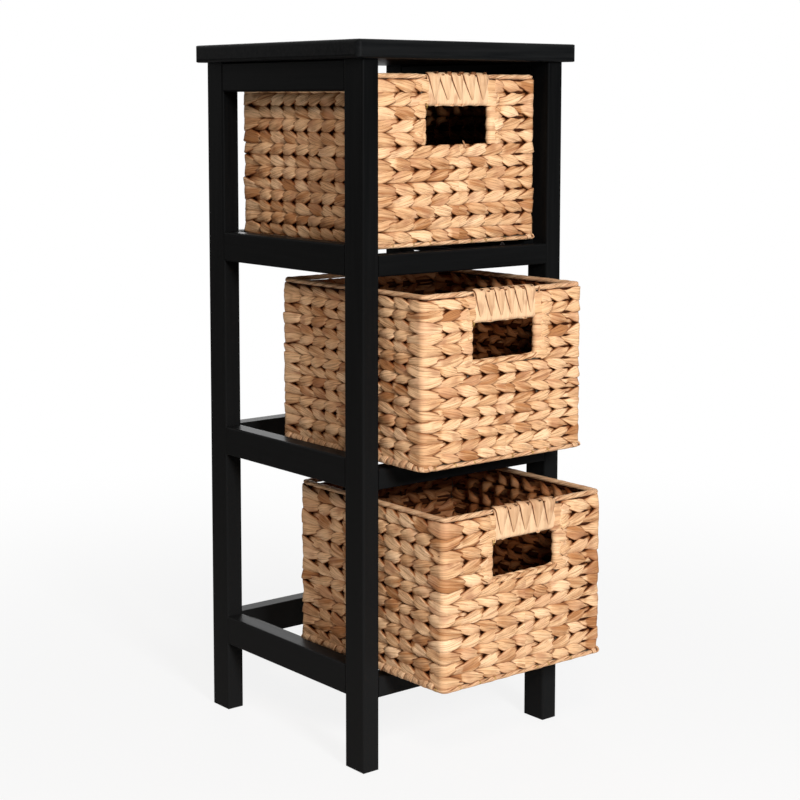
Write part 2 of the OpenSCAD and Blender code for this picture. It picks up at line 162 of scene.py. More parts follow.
# Wraps and stitches round the base cord
LOOP_POINTS = 16
WRAPPED = {"top": (1, 3), "middle": (1, 3, 7), "bottom": (1, 5)}  # corners with three wraps
WRAP_STEP = 0.0044
WRAP_UP = 0.0030  # height of a wrap's middle over the underside
WRAP_OUT = 0.0012  # and out of the wall's middle
WRAP_TONE = (0.24, 0.07)
WRAP_REACH = (0.0040, 0.0048)  # ranges of the corner wraps' reach, tilt and half width
WRAP_TILT = (-0.0020, 0.0020)
WRAP_W = (0.0026, 0.0033)
WRAP_T = {"corner": 0.0011, "side": 0.0019}
WRAP_FLAT = {"corner": 0.72, "side": 0.9}  # height of a wrap as a share of its depth
# painted shade at a wrap's side edges
WRAP_EDGE_SHADE = {"corner": 0.5, "side": 0.8}
# Left side's base cord, wrapped all along: spacing of the wraps, height of their middle, reach
LUMPS = {"bottom": (0.0116, 0.0048, 0.0045), "middle": (0.0104, 0.0042, 0.0041)}
LUMP_SHIFT = (-0.12, 0.12)  # in spacings
LUMP_REACH = (0.88, 1.10)  # ranges of their reach, tilt and half width
LUMP_TILT = (0.0008, 0.0034)
LUMP_W = (0.43, 0.54)
STITCH = 0.026  # spacing of the wire stitches along the base cord
WIRE_T = 0.00035
WIRE_STEP = 0.0012  # between the two windings of a stitch
TIE_REACH = {"corner": 0.0054, "side": 0.0050, "handle": 0.0068}
TIE_TILT = (-0.0014, 0.0014)
TIE_FLAT = 0.56
TIE_BEFORE = 0.004  # a corner's stitch comes this far before it
TIE_FOOT = (0.0030, 0.0010)  # beside the hand hole and over its top edge

# Woven base
BASE_ROWS = 18
BASE_STATIONS = 44
BASE_LOBE = 0.0243  # spacing of the lobes along a row
BASE_COUNT = 40  # lobes after which a row's own shapes come again
BASE_PAST = 0.003  # into the walls

# Handle: flat strands wound round it, and over them strands that end in a point
WIND_IN = (0.0028, 0.0022)  # inside the CAD wrap, across and up
WIND_R = 0.0034  # rounding of the handle's section
UNDER_WINDS = 7
UNDER_SIDE = 0.001  # free at each end of the handle
UNDER_W = 0.60  # half width as a share of the spacing
UNDER_T = 0.0011
UNDER_TONE = (0.48, 0.03)
UNDER_LEAN = (-0.0008, 0.0008)
OVER_WINDS = {"top": (5, 0.0032), "middle": (6, 0.0022), "bottom": (5, 0.0004)}  # and lean
OVER_SIDE = 0.0015
OVER_W = 0.51
OVER_BLUNT = (0.85, 1.15)
OVER_WIDEN = (0.75, 1.65, 0.85)  # from under the middle, over (both in half heights), power
OVER_T = (0.0004, 0.0006)  # at the point, and more at the wide end
OVER_TONE = (0.08, 0.06)
OVER_RAISE = (0.0011, 0.0009, 0.0018)  # everywhere, more at the wide end, less at the point
FILL_LESS = (0.001, 0.0066, 0.0066)  # core smaller than the CAD wrap by
FILL_ROUND = 0.0024

# Loose fibres on the front: place across, height, length and tilt
STRAYS = {
    "top": ((0.008, 0.098, 0.0110, -0.10), (-0.030, 0.030, 0.0070, 1.4)),
    "middle": ((0.044, 0.168, 0.0090, 0.5), (0.050, 0.055, 0.0060, -1.2)),
    "bottom": ((-0.075, 0.020, 0.0060, 0.9), (0.036, 0.012, 0.0060, 1.5)),
}
STRAY_IN = 0.0026  # both ends lie this far behind the CAD wall's face
STRAY_BOW = 0.0022
STRAY_W = 0.0011
STRAY_T = 0.0006
STRAY_TONE = -0.1

# Streaks per metre in the paint, few along the grain
GRAIN = {"x": (9.0, 260.0, 260.0), "y": (260.0, 9.0, 260.0), "z": (260.0, 260.0, 9.0)}
PAINT = ((0.0016, 0.0018, 0.0020), (0.0038, 0.0040, 0.0042))
BOARD_PAINTED_SHEEN = 2.4  # how much lighter the board's paint is: a painted sheen
PAINTED_FLOOR_BOUNCE = (0.0115, 0.0117, 0.0120)  # painted floor bounce: the paint's colour at the feet, lighter as if lit by the white floor
# height where the painted floor bounce has faded out
PAINTED_BOUNCE_TOP = 0.70
PAINT_ROUGH = (0.30, 0.46)

# Straw: fine fibres' factors from gap to top, blush and stain, and the painted shade's factors deep in a
# gap and at it
FIBRE_GAP = (0.34, 0.22, 0.15)
FIBRE_SIDE = (0.88, 0.83, 0.78)
FIBRE_TOP = (1.10, 1.10, 1.09)
BLUSH = (0.62, 0.33, 0.19)
STAIN = (0.36, 0.15, 0.075)
PAINTED_SHADE_DEEP = (0.06, 0.022, 0.009)
PAINTED_SHADE_EDGE = (0.42, 0.25, 0.15)

FLOOR = (0.82, 0.82, 0.82, 1)
FLOOR_FADE = (0.25, 1.5)  # the floor turns white over these distances from the middle
FLOOR_WHITE = (0.86, 1.0)
AMBIENT = (1.0, 0.87, 0.76, 1)
AMBIENT_LIGHT = 0.048
LAMP_AIM = (0, 0, 0.4)
LAMPS = (  # name, place, size, power and colour
    ("key", (-0.68, -2.64, 1.42), 0.5, 75, (0.96, 0.985, 1.0)),
    ("fill", (-1.5, -1.9, 1.9), 0.4, 25, (1.0, 0.84, 0.71)),
    ("back", (1.4, 2.3, 1.2), 1.6, 16, (1, 1, 1)),
)

# Camera fitted to the photograph's straight edges: place, turn and tilt in degrees, and
# focal length and centre in pixels of an 800 pixel frame
CAMERA_AT = (-1.217, -1.475, 0.690)
CAMERA_TURN = -38.76
CAMERA_TILT = -6.05
FOCAL_PX = 1764.8
CENTRE_PX = (384.7, 287.2)
FRAME_PX = 800


# Materials


class Tree:
    """The shader nodes of a material or of the world."""

    def __init__(self, tree):
        self.nodes, self.links = tree.nodes, tree.links

    def node(self, kind, **values):
        made = self.nodes.new(f"ShaderNode{kind}")
        for key, value in values.items():
            if hasattr(made, key):
                setattr(made, key, value)
            else:
                made.inputs[key].default_value = value
        return made

    def feed(self, value, socket):
        """Links another node's output to socket, or sets the socket to a number or a colour."""
        if isinstance(value, bpy.types.NodeSocket):
            self.links.new(value, socket)
        elif isinstance(value, tuple):
            socket.default_value = (*value, 1)
        else:
            socket.default_value = value

    def coords(self):
        return self.node("TexCoord").outputs["Object"]

    def attribute(self, name, output):
        return self.node("Attribute", attribute_name=name).outputs[output]

    def noise(self, vector, scale=1.0, **values):
        made = self.node("TexNoise", Scale=scale, **values)
        self.feed(vector, made.inputs["Vector"])
        return made.outputs["Fac"]

    def ramp(self, source, *stops):
        made = self.node("ValToRGB")
        line = made.color_ramp
        while len(line.elements) < len(stops):
            line.elements.new(0.5)
        for element, (place, colour) in zip(line.elements, stops):
            element.position = place
            element.color = (*colour, 1)
        self.feed(source, made.inputs["Fac"])
        return made.outputs["Color"]

    def map_range(self, source, span, result, kind="LINEAR"):
        """Maps source's span to result, and stays at result's ends beyond it."""
        made = self.node("MapRange", clamp=True, interpolation_type=kind)
        for key, value in zip(("From Min", "From Max", "To Min", "To Max"), (*span, *result)):
            made.inputs[key].default_value = value
        self.feed(source, made.inputs["Value"])
        return made.outputs["Result"]

    def maths(self, operation, *values):
        made = self.node("Math", operation=operation)
        for value, socket in zip(values, made.inputs):
            self.feed(value, socket)
        return made.outputs[0]

    def mix(self, factor, first, second, blend="MIX"):
        made = self.node("Mix", data_type="RGBA", blend_type=blend)
        for value, place in ((factor, 0), (first, 6), (second, 7)):
            self.feed(value, made.inputs[place])
        return made.outputs[2]

    def scaled(self, source, scale):
        made = self.node("VectorMath", operation="MULTIPLY")
        self.feed(source, made.inputs[0])
        made.inputs[1].default_value = scale
        return made.outputs[0]

    def bumps(self, shader, *layers):
        """Bumps over one another, each given by its height, strength and distance."""
        normal = None
        for height, strength, distance in layers:
            made = self.node("Bump", Strength=strength, Distance=distance)
            self.feed(height, made.inputs["Height"])
            if normal is not None:
                self.feed(normal, made.inputs["Normal"])
            normal = made.outputs["Normal"]
        self.feed(normal, shader.inputs["Normal"])

    def blend(self, factor, first, second, output):
        made = self.node("MixShader")
        for value, socket in zip((factor, first, second), made.inputs):
            self.feed(value, socket)
        self.feed(made.outputs["Shader"], output.inputs["Surface"])


def new_material(name, **values):
    """A material, its tree and its shader, with the shader's plain values set."""
    mat = bpy.data.materials.new(name)
    mat.use_nodes = True
    tree = Tree(mat.node_tree)
    shader = tree.nodes["Principled BSDF"]
    for key, value in values.items():
        shader.inputs[key].default_value = value
    return mat, tree, shader


def paint(name, grain, light=1.0):
    """Satin black paint over wood whose grain runs along the axis where grain is small."""
    mat, tree, shader = new_material(name, **{"Specular IOR Level": 0.025})
    coords = tree.coords()
    streaks = tree.noise(tree.scaled(coords, grain), Detail=5.0, Roughness=0.6)
    specks = tree.noise(coords, 900.0, Detail=2.0)
    # light scales the paint's colour; for the board this is a painted sheen
    low, high = (tuple(light * c for c in colour) for colour in PAINT)
    tint = tree.ramp(streaks, (0.35, low), (0.7, high))
    place = tree.node("SeparateXYZ")
    tree.feed(coords, place.inputs[0])
    # Painted floor bounce: the paint turns lighter towards the feet, as if lit by the white floor
    floor_bounce = tree.map_range(place.outputs["Z"], (0.0, PAINTED_BOUNCE_TOP), (1.0, 0.0))
    tree.feed(tree.mix(floor_bounce, tint, PAINTED_FLOOR_BOUNCE), shader.inputs["Base Color"])
    tree.feed(tree.map_range(streaks, (0.0, 1.0), PAINT_ROUGH), shader.inputs["Roughness"])
    tree.bumps(shader, (streaks, 0.25, 0.0003), (specks, 0.12, 0.0001))
    return mat


def speckled(name, scale, detail, dark, light, rough, metal=0.0):
    """Raw wood or metal with fine specks."""
    mat, tree, shader = new_material(name, Metallic=metal, Roughness=rough)
    specks = tree.noise(tree.coords(), scale, Detail=detail)
    tree.feed(tree.ramp(specks, (0.3, dark), (0.7, light)), shader.inputs["Base Color"])
    return mat


def steel(name, colour, rough):
    return speckled(name, 700.0, 2.0, tuple(0.75 * c for c in colour), colour, rough, metal=1.0)


def straw(name, light, mid, dark, streak=1.0):
    """Dry plant fibre. The attributes fibre, which runs along each strand, tone and depth, which is a
    point's painted shade that darkens the colour in the gaps, come with the strands."""
    mat, tree, shader = new_material(name, **{"Roughness": 0.52, "Specular IOR Level": 0.12})
    fibre = tree.attribute("fibre", "Vector")
    fine = tree.noise(tree.scaled(fibre, (28.0, 1500.0, 1500.0)), Detail=4.0, Roughness=0.62)
    broad = tree.noise(tree.scaled(fibre, (22.0, 260.0, 260.0)), Detail=3.0, Roughness=0.5)
    blotch = tree.noise(tree.scaled(fibre, (45.0, 60.0, 60.0)), Detail=2.0)
    rosy = tree.noise(tree.scaled(fibre, (26.0, 30.0, 30.0)), Detail=1.0)

    shade = tree.maths("MULTIPLY_ADD", broad, 0.9, tree.attribute("tone", "Fac"))
    body = tree.ramp(shade, (0.34, dark), (0.62, mid), (1.0, light))
    lines = tree.ramp(fine, (0.39, FIBRE_GAP), (0.46, FIBRE_SIDE), (0.62, FIBRE_TOP))
    colour = tree.mix(0.75 * streak, body, lines, "MULTIPLY")
    colour = tree.mix(tree.map_range(rosy, (0.52, 0.66), (0.0, 0.40 * streak)), colour, BLUSH)
    stain = tree.ramp(blotch, (0.54, (0.0, 0.0, 0.0)), (0.72, (1.0, 1.0, 1.0)))
    colour = tree.mix(tree.maths("MULTIPLY", stain, 0.60), colour, STAIN)
    # Painted shade: the colour darkens to near black deep in the gaps between strands
    depth = tree.attribute("depth", "Fac")
    painted_gap_shade = tree.ramp(depth, (0.08, PAINTED_SHADE_DEEP), (0.34, PAINTED_SHADE_EDGE), (0.64, (1.0, 1.0, 1.0)))
    tree.feed(tree.mix(1.0, colour, painted_gap_shade, "MULTIPLY"), shader.inputs["Base Color"])
    tree.bumps(shader, (fine, 0.55, 0.0005), (broad, 0.6, 0.0012))
    return mat


def add_object(name, data):
    made = bpy.data.objects.new(name, data)
    bpy.context.scene.collection.objects.link(made)
    return made


def mesh_from(bm, name):
    mesh = bpy.data.meshes.new(name)
    bm.to_mesh(mesh)
    bm.free()
    return mesh


# Strands


def smooth_noise(draw, count, spread):
    """A function of 0..1 that comes back to its start, made of count slow waves."""
    waves = [(k + 1, draw.uniform(0, TAU), draw.gauss(0, 1) / (1 + 0.4 * k)) for k in range(count)]

    def at(t):
        return spread * sum(size * np.sin(TAU * turns * t + start) for turns, start, size in waves)

    return at


def pointed(t, length, thin):
    """Shares of a strand's full size along t: thin at both ends, 1 from length onwards."""
    return np.clip(np.minimum(t - t[0], t[-1] - t) / length, thin, 1)


def unit(rows):
    """Rows scaled to length 1."""
    return rows / np.maximum(np.linalg.norm(rows, axis=1, keepdims=True), 1e-12)


def sweep(name, path, out, half_w, half_t, tone, depth, closed, draw, sides=SIDES, flat=0.7, edge=0.25):
    """One strand: a flat oval section carried along path, its flat side facing out. Sizes and tone are
    numbers, or have one for each point of path. depth is the painted shade, or gives it for a ring and a
    distance outwards; edge is how much painted shade darkens the side edges."""
    count = len(path)
    half_w, half_t, tone, square = (np.broadcast_to(value, count) for value in (half_w, half_t, tone, flat))
    if closed:
        tangent = np.roll(path, -1, axis=0) - np.roll(path, 1, axis=0)
        order = np.arange(count + 1) % count
    else:
        tangent = np.gradient(path, axis=0)
        order = np.arange(count)
    tangent = unit(tangent)
    across = unit(np.cross(out, tangent))
    lift = np.cross(tangent, across)
    steps = np.linalg.norm(np.diff(path[order], axis=0), axis=1)
    along = np.concatenate([[0.0], np.cumsum(steps)])

    rows = len(order)
    bm = bmesh.new()
    bmesh.ops.create_grid(bm, x_segments=rows - 1, y_segments=sides, size=0.5)
    mesh = mesh_from(bm, name)
    grid = np.empty(len(mesh.vertices) * 3)
    mesh.vertices.foreach_get("co", grid)
    grid = grid.reshape(-1, 3)
    ring = np.rint((grid[:, 0] + 0.5) * (rows - 1)).astype(int)
    turn = np.rint((grid[:, 1] + 0.5) * sides).astype(int) % sides
    angle = TAU * turn / sides

    start = draw.uniform(0, TAU)
    creases = np.ones_like(angle)
    for waves, shift, twist, deep in CREASES:
        creases += deep * np.sin(waves * angle + shift * start + twist * along[ring])
    k = order[ring]
    round_up = np.sign(np.sin(angle)) * np.abs(np.sin(angle)) ** square[k]
    sideways = half_w[k] * np.cos(angle)
    outward = half_t[k] * round_up * creases
    place = path[k] + across[k] * sideways[:, None] + lift[k] * outward[:, None]
    mesh.vertices.foreach_set("co", place.ravel())

    fibre = mesh.attributes.new("fibre", "FLOAT_VECTOR", "POINT")
    local = np.stack([along[ring] + draw.uniform(0, FIBRE_SHIFT), sideways, outward], axis=1)
    fibre.data.foreach_set("vector", local.ravel())
    mesh.attributes.new("tone", "FLOAT", "POINT").data.foreach_set("value", tone[k])
    # Painted shade: the depth attribute darkens the colour in gaps and towards the section's side edges
    shade = depth(k, outward) if callable(depth) else depth
    painted_shade = np.clip(shade, 0, 1) * (1 - edge * np.abs(np.cos(angle)) ** EDGE_SHADE_POWER)
    mesh.attributes.new("depth", "FLOAT", "POINT").data.foreach_set("value", painted_shade)

    bm = bmesh.new()
    bm.from_mesh(mesh)
    bmesh.ops.remove_doubles(bm, verts=bm.verts, dist=WELD)
    bmesh.ops.recalc_face_normals(bm, faces=bm.faces)
    for face in bm.faces:
        face.smooth = True
    bm.to_mesh(mesh)
    bm.free()
    return add_object(name, mesh)


def join(strands, tier, part, material):
    """Strands become one piece, which moves with its basket."""
    body = f"{tier}_basket"
    with bpy.context.temp_override(active_object=strands[0], selected_editable_objects=strands):
        bpy.ops.object.join()
    piece = strands[0]
    piece.name = f"{body}_{part}"
    piece.data.materials.clear()
    piece.data.materials.append(material)
    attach(piece, body)
    return piece


def squeeze(values, limit, excess):
    """Squeezes the last bit before limit so that limit + excess comes to lie on limit."""
    start = limit - PRESS
    return np.where(values > start, start + (values - start) * PRESS / (PRESS + excess), values)


def press_clear(piece, size):
    """Presses a piece back where it would reach into the runners or the rear rail."""
    points = np.empty(3 * len(piece.data.vertices))
    piece.data.vertices.foreach_get("co", points)
    x, y, z = points.reshape(-1, 3).T
    floor, rear = size.floor, size.rear + REAR_ROOM
    low = np.clip((floor + RAIL_REACH - z) / RAIL_FADE, 0, 1)
    past = max(0.0, y[low > 0].max() - rear)
    y = y + low * (squeeze(y, rear, past) - y)
    z = -squeeze(-z, -floor, max(0.0, floor - z.min()))
    piece.data.vertices.foreach_set("co", np.stack([x, y, z], axis=1).ravel())
    piece.data.update()


class Ring:
    """Rounded rectangle seen from above, run to the right from the middle of its front side."""

    def __init__(self, width, depth, radius, centre):
        a, b = width / 2 - radius, depth / 2 - radius
        arc = radius * math.pi / 2
        runs = (a, arc, 2 * b, arc, 2 * a, arc, 2 * b, arc, a)
        self.knots = np.concatenate([[0.0], np.cumsum(runs)])
        self.length = self.knots[-1]
        self.x = np.array([0, a, a, a, a, -a, -a, -a, -a, 0]) + centre[0]
        self.y = np.array([-b, -b, -b, b, b, b, b, -b, -b, -b]) + centre[1]
        self.turn = np.radians([-90, -90, 0, 0, 90, 90, 180, 180, 270, 270])
        self.radius = radius

    def at(self, s):
        """Places and outward directions at distances s along the ring."""
        s = np.mod(s, self.length)
        turn = np.interp(s, self.knots, self.turn)
        out = np.stack([np.cos(turn), np.sin(turn), np.zeros_like(turn)], axis=1)
        x, y = (np.interp(s, self.knots, values) for values in (self.x, self.y))
        return np.stack([x, y, 0 * x], axis=1) + self.radius * out, out

    def corner(self, knot):
        """Distance at the middle of the corner that starts at knot."""
        return (self.knots[knot] + self.knots[knot + 1]) / 2

    def stations(self, step, start=0.0, stop=None):
        """Distances along the ring, closer together round the corners."""
        stop = self.length if stop is None else stop
        marks = sorted([start, stop] + [k for k in self.knots[1:-1] if start < k < stop])
        found = []
        for low, high in zip(marks, marks[1:]):
            if high - low < WELD:
                continue
            turn = np.interp((low + high) / 2, self.knots, self.turn)
            bent = turn % (math.pi / 2) > ON_CORNER
            count = CORNER_RINGS if bent else max(1, round((high - low) / step))
            found.append(np.linspace(low, high, count, endpoint=False))
        return np.concatenate(found + [[stop]])


def by_lobe(draw, u, count, spread, base=1.0, soft=0.3):
    """A value that changes from one lobe of a strand to the next, over soft of a lobe."""
    table = np.array([draw.gauss(base, spread) for _ in range(count)])
    place = u + 0.5
    whole = np.floor(place).astype(int)
    part = np.clip((place - whole + soft / 2) / soft, 0, 1)
    part = part * part * (3 - 2 * part)
    return table[(whole - 1) % count] * (1 - part) + table[whole % count] * part


def twisted_pair(name, draw, place, out, across, u, count, lean, height, loose, tight, closed):
    """Two strands twisted round each other: a lobe of one or the other stands out at every
    whole u, and they cross half way between. lean 1 twists them one way, -1 the other."""
    strands = []
    taper = 1.0 if closed else pointed(u, *ENDS) ** 0.5
    bend = (tight - 1) / TIGHT
    jitter = by_lobe(draw, u, count, SPREAD["place"], base=0.0, soft=0.9)
    for k in range(2):
        v = np.mod(u + k + jitter + 1, 2) - 1
        far = np.abs(v)
        size = by_lobe(draw, u, count, SPREAD["width"])
        proud = by_lobe(draw, u, count, SPREAD["swing"], base=0.0)
        rise = lean * np.sign(v) * np.interp(far, TWIST, RISE) * height
        stand = np.interp(far, TWIST, STAND)
        reach = (WEAVE * stand + stand * proud) * (1 - BEND_SWING * bend)
        path = place + out * reach[:, None] + across * rise[:, None]
        share = np.interp(far, TWIST, HALF_W)
        half_w = height * share * size * tight * taper * (1 - (loose - 1) * LOOSE_THIN * far)
        half_t = STRAND_T * (THICK[0] + THICK[1] * share) * taper
        tone = by_lobe(draw, u, count, SPREAD["tone"], base=LOBE_TONE)
        roll = lean * ROLL * np.sin(math.pi * v)
        facing = out * np.cos(roll)[:, None] + across * np.sin(roll)[:, None]

        # Painted shade: darker the deeper a point lies in the wall, with set painted shades inside the
        # basket and on the strands' backs
        def painted_shade(ring, outward, reach=reach):
            depth = (reach[ring] + outward) / (WEAVE + STRAND_T)
            shade = np.where(depth > 0, depth, np.interp(-depth, INNER_DEPTH, INNER_PAINTED_SHADE))
            return np.where(outward < -STRAND_T / 2, np.maximum(shade, BACK_PAINTED_SHADE), shade)

        keep = slice(None, -1) if closed else slice(None)
        strands.append(sweep(
            f"{name}_{k}", path[keep], facing[keep], half_w[keep], half_t[keep], tone[keep], painted_shade,
            closed, draw, flat=FLAT - BEND_FLAT * bend[keep], edge=WEAVE_EDGE_SHADE,
        ))
    return strands


def cord_strands(name, draw, place, out, s, closed, turns, plies, wide, tall, half_t):
    """Strands twisted round each other along a track."""
    strands = []
    t = (s - s[0]) / (s[-1] - s[0])
    uneven = smooth_noise(draw, 7, 0.0 if closed else CORD_UNEVEN["twist"])(t)
    taper = np.ones_like(t) if closed else pointed(t, 1 / (3 * turns), CORD_END) ** 0.5
    for k in range(plies):
        theta = TAU * (turns * t + k / plies) + uneven + draw.uniform(*CORD_START)
        path = place + out * (wide * np.cos(theta))[:, None] + UP * (tall * np.sin(theta))[:, None]
        grow = 1 + smooth_noise(draw, 9, CORD_UNEVEN["width"])(t)
        tone = CORD_TONE + CORD_UNEVEN["bands"] * np.sin(CORD_BANDS * theta)
        tone += smooth_noise(draw, 12, CORD_UNEVEN["tone"])(t)

        # Painted shade: each ply darker on its inner side
        def painted_shade(ring, outward):
            return (outward + half_t) / (1.4 * half_t)

        facing = unit(out * np.cos(theta)[:, None] * tall + UP * np.sin(theta)[:, None] * wide)
        keep = slice(None, -1) if closed else slice(None)
        strands.append(sweep(
            f"{name}_{k}", path[keep], facing[keep], (CORD_W * grow * taper)[keep],
            (half_t * taper)[keep], tone[keep], painted_shade, closed, draw, sides=10,
        ))
    return strands


# Baskets


def basket_sizes(tier):
    """A basket's own places and sizes, read from its CAD nodes."""
    walls_low, walls_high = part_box(f"{tier}_basket_walls")
    base_low, base_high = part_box(f"{tier}_basket_base")
    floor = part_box(f"{tier}_basket_base_binding")[0][2]
    rim_low, rim_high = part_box(f"{tier}_basket_rim")
    grip_low, grip_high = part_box(f"{tier}_basket_handle_wrap")
    centre = ((walls_low[0] + walls_high[0]) / 2, (walls_low[1] + walls_high[1]) / 2)
    depth = walls_high[1] - walls_low[1]
    return SimpleNamespace(
        centre=centre, wall=base_low[0] - walls_low[0],
        width=walls_high[0] - walls_low[0], depth=depth,
        front=centre[1] - depth / 2, rear=centre[1] + depth / 2,
        floor=floor, high=walls_high[2],
        base=(base_low, base_high), rim=(rim_low[2], rim_high[2]),
        grip=(grip_low, grip_high), hole_half=(grip_high[0] - grip_low[0]) / 2,
    )


def wall_track(size):
    wall = size.wall
    return Ring(size.width - wall, size.depth - wall, CORNER_R - wall / 2, size.centre)


class Uprights:
    """Where the lobes stand along a wall's track: u is whole at the middle of each lobe."""

    def __init__(self, track):
        marks, values = [], []
        self.corners, self.loose = [], []
        start = 0.0
        runs = (FRONT_LOBES / 2, SIDE_LOBES, FRONT_LOBES, SIDE_LOBES)
        for corner, knot, lobes in zip(CORNER_REACH, CORNER_KNOTS, runs):
            start += lobes
            middle = track.corner(knot)
            before, after = CORNER_REACH[corner]
            marks += [middle - before, middle, middle + after]
            values += [start - 0.5, start, start + 0.5]
            self.corners.append(middle)
            self.loose.append((middle - before, LOOSE.get(corner, 1.0)))
        self.count = 2 * (FRONT_LOBES + SIDE_LOBES)
        self.marks = np.array([marks[-1] - track.length] + marks + [marks[0] + track.length])
        self.values = np.array([values[-1] - self.count] + values + [values[0] + self.count])

    def at(self, s):
        return np.interp(s, self.marks, self.values)

    def tight_at(self, s):
        found = np.ones_like(s)
        for place in self.corners:
            found += TIGHT * np.exp(-(((s - place) / TIGHT_SPAN) ** 2))
        return found

    def loose_at(self, s):
        found = np.ones_like(s)
        for place, much in self.loose:
            found += (much - 1) * np.exp(-(((s - place) / LOOSE_SPAN) ** 2))
        return found


def row_edges(tier, size):
    """Heights between the rows: even under the hand hole's cord, and even beside the hole."""
    edge = size.grip[0][2] - HOLE_H - CORD_H * CORD_SHARE[tier]
    lower = np.linspace(size.floor + BASE_CORD_H, edge, LOW_ROWS[tier] + 1)
    upper = np.linspace(edge, size.high, HIGH_ROWS[tier] + 1)
    return np.concatenate([lower, upper[1:]])


def core(name, draw, track, s, height, sway, span):
    """Fibres deep between two rows, painted near black as shade, all the way round or from span's start to
    its end.
    """
    place, out = track.at(s)
    path = place + UP * (height + sway)[:, None]
    keep = (s >= span[0]) & (s <= span[1]) if span else s < track.length
    return sweep(
        name, path[keep], out[keep], CORE_W, CORE_T, CORE_TONE, CORE_PAINTED_SHADE, span is None, draw,
        sides=6, flat=1.0,
    )


def core_spans(row, last, tier, track, start):
    """Where the fibres over a row run. None is all the way round."""
    if row + 1 < LOW_ROWS[tier]:
        return [None]
    if row == last:
        return [(start, track.knots[3]), (track.knots[6], track.length - start)]
    return [(start, track.length - start)]


def weave_walls(tier, size, draw, material):
    track = wall_track(size)
    uprights = Uprights(track)
    edges = row_edges(tier, size)
    rows = len(edges) - 1
    start = size.hole_half + TUCK
    wave = smooth_noise(draw, 2, WAVE)
    strands = []
    for row, (low, high) in enumerate(zip(edges, edges[1:])):
        closed = row < LOW_ROWS[tier]
        ends = () if closed else (start, track.length - size.hole_half - TUCK)
        s = track.stations(STATION, *ends)
        place, out = track.at(s)
        t = s / track.length
        under, over = (math.sin(math.pi * edge / rows) for edge in (row, row + 1))
        sway = wave(t) - FALL[tier] * np.sin(TAU * t)
        drift = sway * (under + over) / 2 + smooth_noise(draw, 4, DRIFT)(t)
        place = place + UP * ((low + high) / 2 + drift)[:, None]
        strands += twisted_pair(
            f"{tier}_row{row}", draw, place, out, UP, uprights.at(s),
            uprights.count, 1 if row % 2 else -1, high - low + sway * (over - under),
            uprights.loose_at(s), uprights.tight_at(s), closed,
        )
        for number, span in enumerate(core_spans(row, rows - 1, tier, track, start)):
            strands.append(core(
                f"{tier}_core{row}_{number}", draw, track, s[::CORE_STEP], high,
                sway[::CORE_STEP] * over, span,
            ))
    strands += fold_edges(tier, size, draw, edges[LOW_ROWS[tier]:])
    if tier in LEDGE_TURNS:
        strands += hole_cord(tier, size, draw)
    piece = join(strands, tier, "weave", material)
    press_clear(piece, size)
    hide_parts(f"{tier}_basket_walls")


def fold_edges(tier, size, draw, edges):
    """Strands folded round the upright edges of the hand hole, from outside to inside:
    a column of wide level wraps on the right, and the rows' own last lobes on the left."""
    strands = []
    bend = size.wall / 2 - FOLD_T
    turns = np.linspace(-math.pi / 2, math.pi / 2, BEND_RINGS)
    level = np.ones(FOLD_RINGS)
    bent = slice(FOLD_RINGS, FOLD_RINGS + BEND_RINGS)
    sink_from, sink_over, sink_depth = FOLD_SINK
    for side, (outer, follow, spread, blunt) in FOLDS.items():
        for fold, (low, high) in enumerate(zip(edges, edges[1:])):
            lean = 1 if (fold + len(edges)) % 2 else -1
            reach_out = draw.uniform(*outer)
            reach_in = draw.uniform(*FOLD_IN)
            slope = follow * lean + draw.gauss(0, spread)
            outside = np.linspace(reach_out, FOLD_START, FOLD_RINGS, endpoint=False)
            inside = np.linspace(FOLD_START, reach_in, FOLD_RINGS)
            x = np.concatenate([outside, -bend * np.cos(turns), inside])
            y = np.concatenate([-bend * level, bend * np.sin(turns), bend * level])
            away = np.concatenate([outside, np.zeros(BEND_RINGS), inside])
            sink = np.clip((away - sink_from) / sink_over, 0, 1) ** 1.5
            y -= np.sign(y) * sink_depth * sink
            middle = (low + high) / 2 + draw.gauss(0, 0.0003)
            gap = FOLD_GAP["handle" if middle > size.grip[0][2] else "hole"]
            path = np.stack([
                size.centre[0] + side * (size.hole_half + bend + gap + x),
                size.front + size.wall / 2 + y,
                middle + slope * away * np.where(y < 0, 1, -1),
            ], axis=1)
            out = np.zeros_like(path)
            out[:bent.start] = (0, -1, 0)
            out[bent.stop:] = (0, 1, 0)
            out[bent] = np.stack([-side * np.cos(turns), np.sin(turns), 0 * turns], axis=1)
            end = pointed(np.arange(len(path)), 5.0, 0.03)
            half_w = (high - low) * FOLD_W * end ** blunt * draw.uniform(0.95, 1.06)

            # Painted shade: darker on the fold's inner face and where it dips under the rows
            def painted_shade(ring, outward, sink=sink):
                return 0.78 + outward / 0.008 - 0.3 * sink[ring]

            strands.append(sweep(
                f"{tier}_fold{side}_{fold}", path, out, half_w, FOLD_T * end ** 0.4,
                draw.gauss(*FOLD_TONE), painted_shade, False, draw, edge=0.6,
            ))
    return strands


